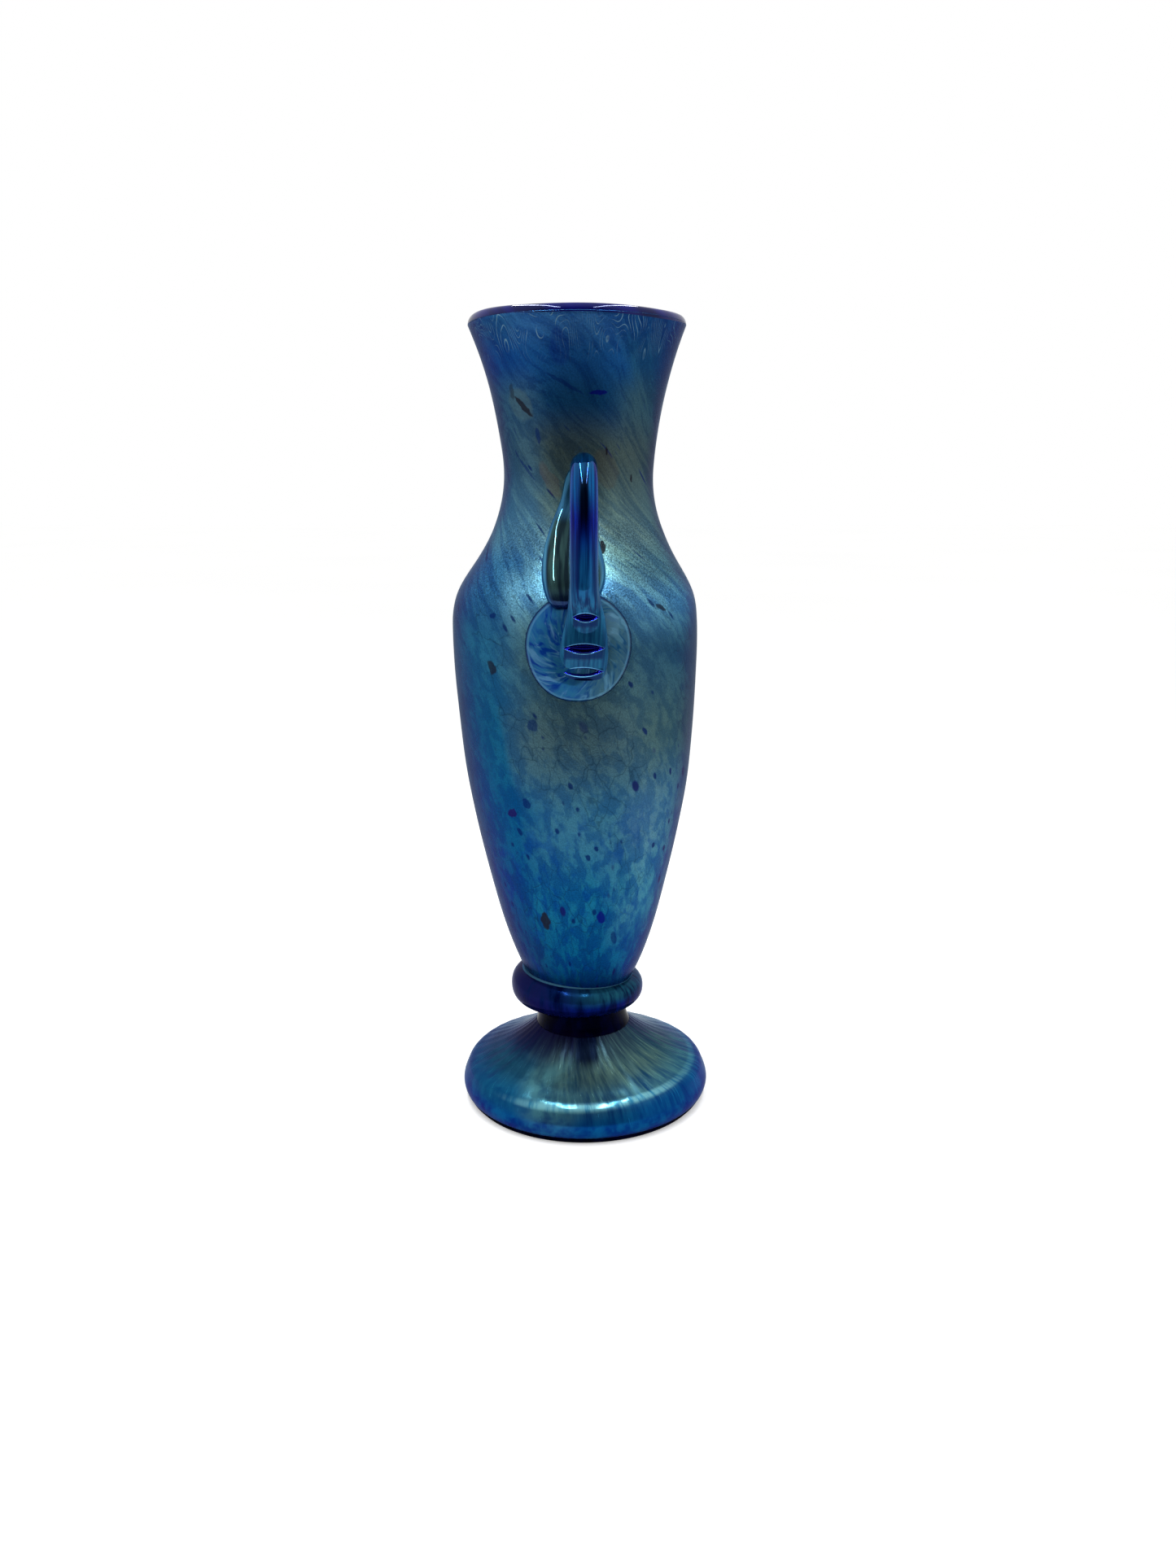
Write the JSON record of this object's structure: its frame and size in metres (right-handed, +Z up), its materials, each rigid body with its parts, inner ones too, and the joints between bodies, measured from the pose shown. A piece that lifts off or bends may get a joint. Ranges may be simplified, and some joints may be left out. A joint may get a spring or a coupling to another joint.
{
  "type": "hand blown art glass vase",
  "caption": "Tall amphora shaped glass vase with a flared neck, looped handles on round discs, a ringed stem and a domed foot, for holding flowers.",
  "frame": {"origin": "centre of the foot's underside, in the plane that the vase stands on", "axes": "+Z up along the vase's axis to the lip; the front handle is on the -Y side and the rear one on the +Y side"},
  "size_m": [0.084, 0.0996, 0.254],
  "materials": {
    "cobalt_glass": "fire polished cobalt glass",
    "iridescent_overlay": "satin iridescent frit overlay, blue with green and violet",
    "swirled_glass": "glossy clear glass with blue swirls",
    "smoky_glass": "glossy smoky green blue glass",
    "handle_glass": "glossy deep cobalt glass"
  },
  "bodies": {
    "root": {"body_bubble": "cobalt_glass", "body_overlay": "iridescent_overlay", "collar": "cobalt_glass", "stem": "cobalt_glass", "foot_disc": "cobalt_glass", "foot_overlay": "iridescent_overlay", "front_handle_disc": "swirled_glass", "front_handle_drop": "smoky_glass", "front_handle_rod": "handle_glass", "rear_handle_disc": "swirled_glass", "rear_handle_drop": "smoky_glass", "rear_handle_rod": "handle_glass"}
  },
  "joints": []
}
